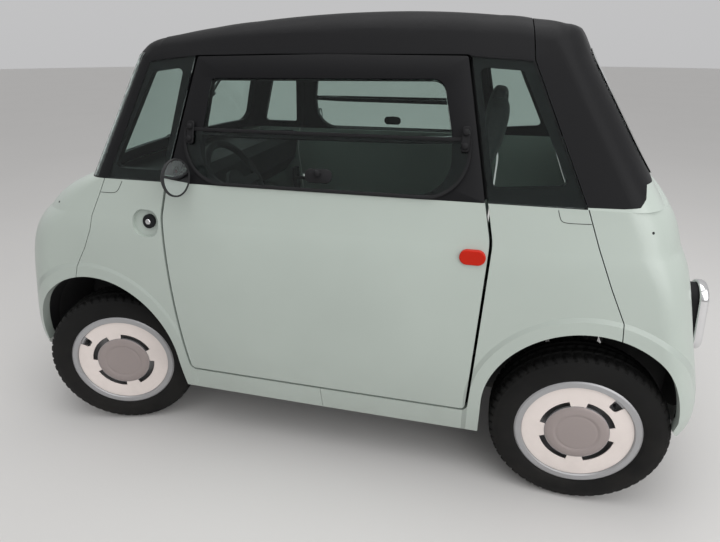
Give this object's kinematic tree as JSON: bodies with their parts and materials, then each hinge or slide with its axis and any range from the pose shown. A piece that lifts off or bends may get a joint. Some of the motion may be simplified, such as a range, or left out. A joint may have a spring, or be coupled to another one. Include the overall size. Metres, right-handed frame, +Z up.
{
  "type": "microcar",
  "caption": "Small electric city car with a rounded body, black roof and pillars, wide doors hinged at opposite ends, steered front wheels and flat white wheel covers.",
  "frame": {"origin": "on the ground at the middle of the car's length and width", "axes": "+Z up, the nose points to -X, the driver's side with the rear-hinged door is -Y"},
  "size_m": [2.5362, 1.5486, 1.527],
  "materials": {
    "body_green": "satin, pale green",
    "satin_black": "satin black",
    "inner_black": "matte black",
    "inner_grey": "matte dark grey",
    "frame_black": "satin black",
    "casing_grey": "satin grey",
    "cast_grey": "cast",
    "clear_glass": "clear, slightly green",
    "seat_fabric": "woven, dark",
    "lamp_clear": "clear lens",
    "lamp_red": "red lens",
    "lamp_orange": "orange lens",
    "tyre_rubber": "matte black",
    "rim_silver": "satin silver",
    "cover_white": "white"
  },
  "bodies": {
    "car_body": {"chassis_frame": "frame_black", "floor_pan": "inner_black", "battery_pack": "casing_grey", "drive_motor": "cast_grey", "front_suspension": "frame_black", "rear_suspension": "frame_black", "arch_liners": "inner_black", "front_panel": "body_green", "rear_panel": "body_green", "wing_front_left": "body_green", "wing_front_right": "body_green", "wing_rear_left": "body_green", "wing_rear_right": "body_green", "windscreen": "clear_glass", "roof": "satin_black", "cabin_frame": "satin_black", "rear_surround": "satin_black", "rear_window": "clear_glass", "quarter_glass": "clear_glass", "dashboard": "inner_grey", "steering_column": "inner_black", "seat_base": "inner_black", "seat_left": "seat_fabric", "seat_right": "seat_fabric", "headlamps": "lamp_clear", "tail_lamps": "lamp_red", "latch_buttons": "body_green", "wiper": "inner_black", "door_hinges": "frame_black"},
    "knuckle_left_body": {"knuckle_left": "frame_black"},
    "knuckle_right_body": {"knuckle_right": "frame_black"},
    "steering_wheel_body": {"steering_wheel": "inner_black"},
    "door_left": {"door_panel_left": "body_green", "door_frame_left": "satin_black", "door_glass_left": "clear_glass", "side_marker_left": "lamp_orange", "door_mirror_left": "inner_black"},
    "door_right": {"door_panel_right": "body_green", "door_frame_right": "satin_black", "door_glass_right": "clear_glass", "side_marker_right": "lamp_orange", "door_mirror_right": "inner_black"},
    "wheel_front_left": {"tyre_front_left": "tyre_rubber", "rim_front_left": "rim_silver", "wheel_cover_front_left": "cover_white"},
    "wheel_front_right": {"tyre_front_right": "tyre_rubber", "rim_front_right": "rim_silver", "wheel_cover_front_right": "cover_white"},
    "wheel_rear_left": {"tyre_rear_left": "tyre_rubber", "rim_rear_left": "rim_silver", "wheel_cover_rear_left": "cover_white"},
    "wheel_rear_right": {"tyre_rear_right": "tyre_rubber", "rim_rear_right": "rim_silver", "wheel_cover_rear_right": "cover_white"}
  },
  "joints": [
    {"name": "steer_left", "type": "hinge", "parent": "car_body", "child": "knuckle_left_body", "pos_m": [-0.864, -0.531, 0.2785], "axis": [0, 0, 1], "range_deg": [-49.8, 14.2]},
    {"name": "steer_right", "type": "hinge", "parent": "car_body", "child": "knuckle_right_body", "pos_m": [-0.864, 0.531, 0.2785], "axis": [0, 0, 1], "range_deg": [-49.8, 14.2]},
    {"name": "roll_front_left", "type": "hinge", "parent": "knuckle_left_body", "child": "wheel_front_left", "pos_m": [-0.84826, -0.58003, 0.2785], "axis": [0.3057, -0.9521, 0], "continuous": true},
    {"name": "roll_front_right", "type": "hinge", "parent": "knuckle_right_body", "child": "wheel_front_right", "pos_m": [-0.87974, 0.58003, 0.2785], "axis": [-0.3057, 0.9521, 0], "continuous": true},
    {"name": "roll_rear_left", "type": "hinge", "parent": "car_body", "child": "wheel_rear_left", "pos_m": [0.864, -0.5825, 0.2785], "axis": [0, -1, 0], "continuous": true},
    {"name": "roll_rear_right", "type": "hinge", "parent": "car_body", "child": "wheel_rear_right", "pos_m": [0.864, 0.5825, 0.2785], "axis": [0, 1, 0], "continuous": true},
    {"name": "turn_steering_wheel", "type": "hinge", "parent": "car_body", "child": "steering_wheel_body", "pos_m": [-0.44, -0.29, 0.925], "axis": [0.891, 0, 0.454], "range_deg": [-597.6, 170.4]},
    {"name": "swing_door_left", "type": "hinge", "parent": "car_body", "child": "door_left", "pos_m": [0.486, -0.683, 0.62], "axis": [0, 0, 1], "range_deg": [0, 68]},
    {"name": "swing_door_right", "type": "hinge", "parent": "car_body", "child": "door_right", "pos_m": [-0.486, 0.683, 0.62], "axis": [0, 0, 1], "range_deg": [0, 68]}
  ],
  "couplings": [
    {"joint": "steer_right", "follows": "steer_left", "ratio": 1},
    {"joint": "turn_steering_wheel", "follows": "steer_left", "ratio": 12}
  ]
}
